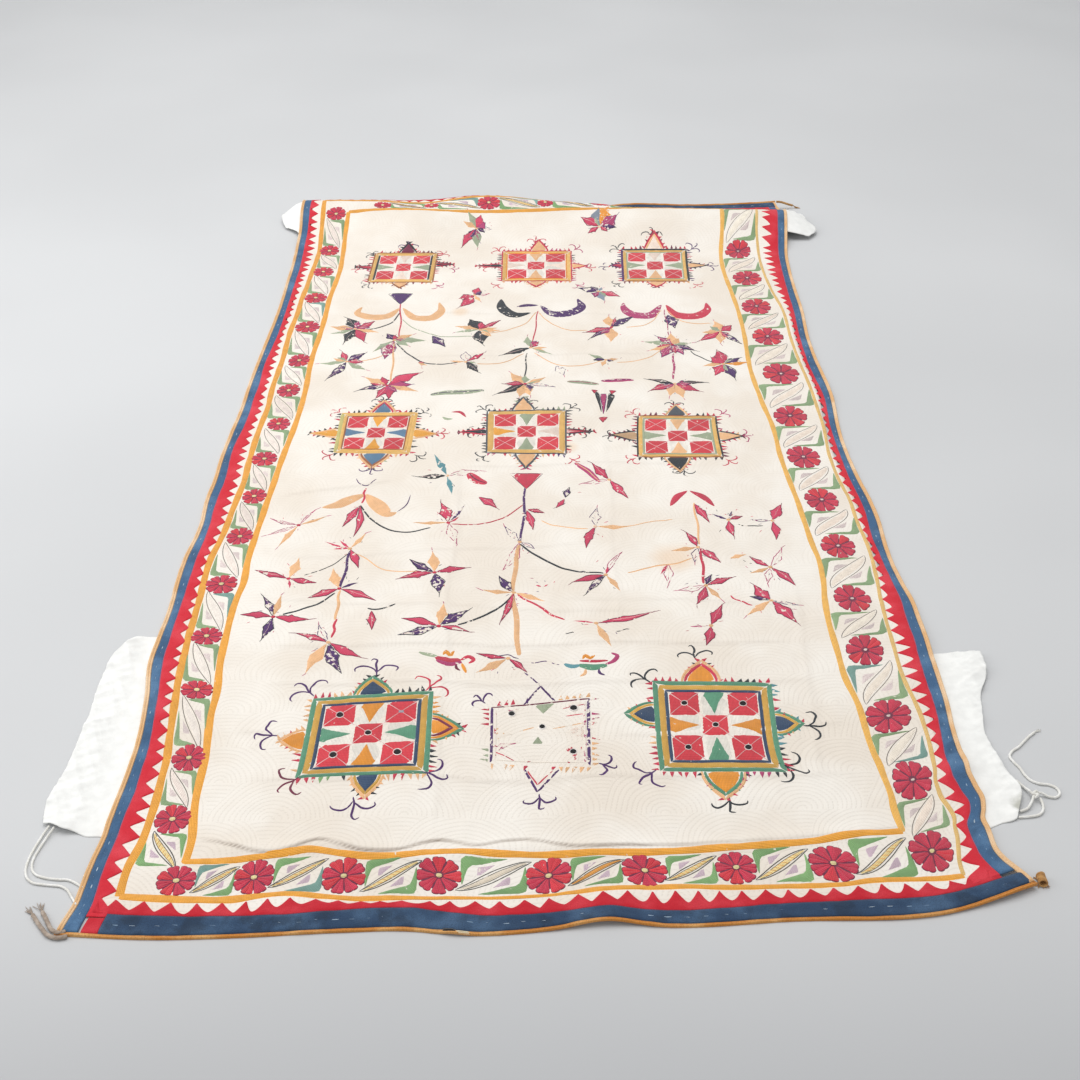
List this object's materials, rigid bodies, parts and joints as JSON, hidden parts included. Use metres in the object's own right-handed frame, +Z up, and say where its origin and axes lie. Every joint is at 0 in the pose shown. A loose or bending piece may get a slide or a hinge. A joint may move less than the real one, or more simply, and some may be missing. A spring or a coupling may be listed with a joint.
{
  "type": "quilted and embroidered textile hanging, laid flat",
  "caption": "Large rectangular quilted cotton hanging with square medallions, flowering vines and a saw-toothed border, laid face up with its back sleeves and ties showing.",
  "frame": {"origin": "under the middle of the whole piece's box, on the surface it lies on", "axes": "+Z up from the surface through the cloth's face; +Y along the cloth, from the edge near the camera to the edge over the low ridge; +X across, to the right as seen in the picture"},
  "size_m": [1.5406, 2.5155, 0.0543],
  "materials": {
    "quilted_cotton": "hand-quilted cream cotton, matt, covered with chain-stitch embroidery",
    "red_cotton": "plain red cotton, matt",
    "blue_cotton": "plain blue cotton, matt",
    "orange_piping": "orange-tan cotton over a filler cord, matt",
    "white_cotton": "plain white cotton, creased, matt",
    "white_tape": "white cotton tie, matt",
    "white_cord": "frayed white cotton tie, matt",
    "taupe_cord": "grey-brown twisted cotton, matt",
    "tan_cord": "tan twisted cotton, frayed, matt"
  },
  "bodies": {
    "root": {"ground_panel": "quilted_cotton", "red_strip_near": "red_cotton", "red_strip_far": "red_cotton", "red_strip_left": "red_cotton", "red_strip_right": "red_cotton", "blue_binding_near": "blue_cotton", "blue_binding_far": "blue_cotton", "blue_binding_left": "blue_cotton", "blue_binding_right": "blue_cotton", "piping_near": "orange_piping", "piping_far": "orange_piping", "piping_left": "orange_piping", "piping_right": "orange_piping", "back_band_near": "white_cotton", "back_band_far": "white_cotton", "tie_left_outer": "white_tape", "tie_left_inner": "white_tape", "tie_right_long": "white_cord", "tie_right_short": "white_cord", "tie_right_loop": "white_cord", "tie_right_knot": "white_cord", "tail_near_left_a": "taupe_cord", "tail_near_left_b": "taupe_cord", "tail_far_right": "tan_cord", "corner_knot_near_right": "tan_cord"}
  },
  "joints": []
}
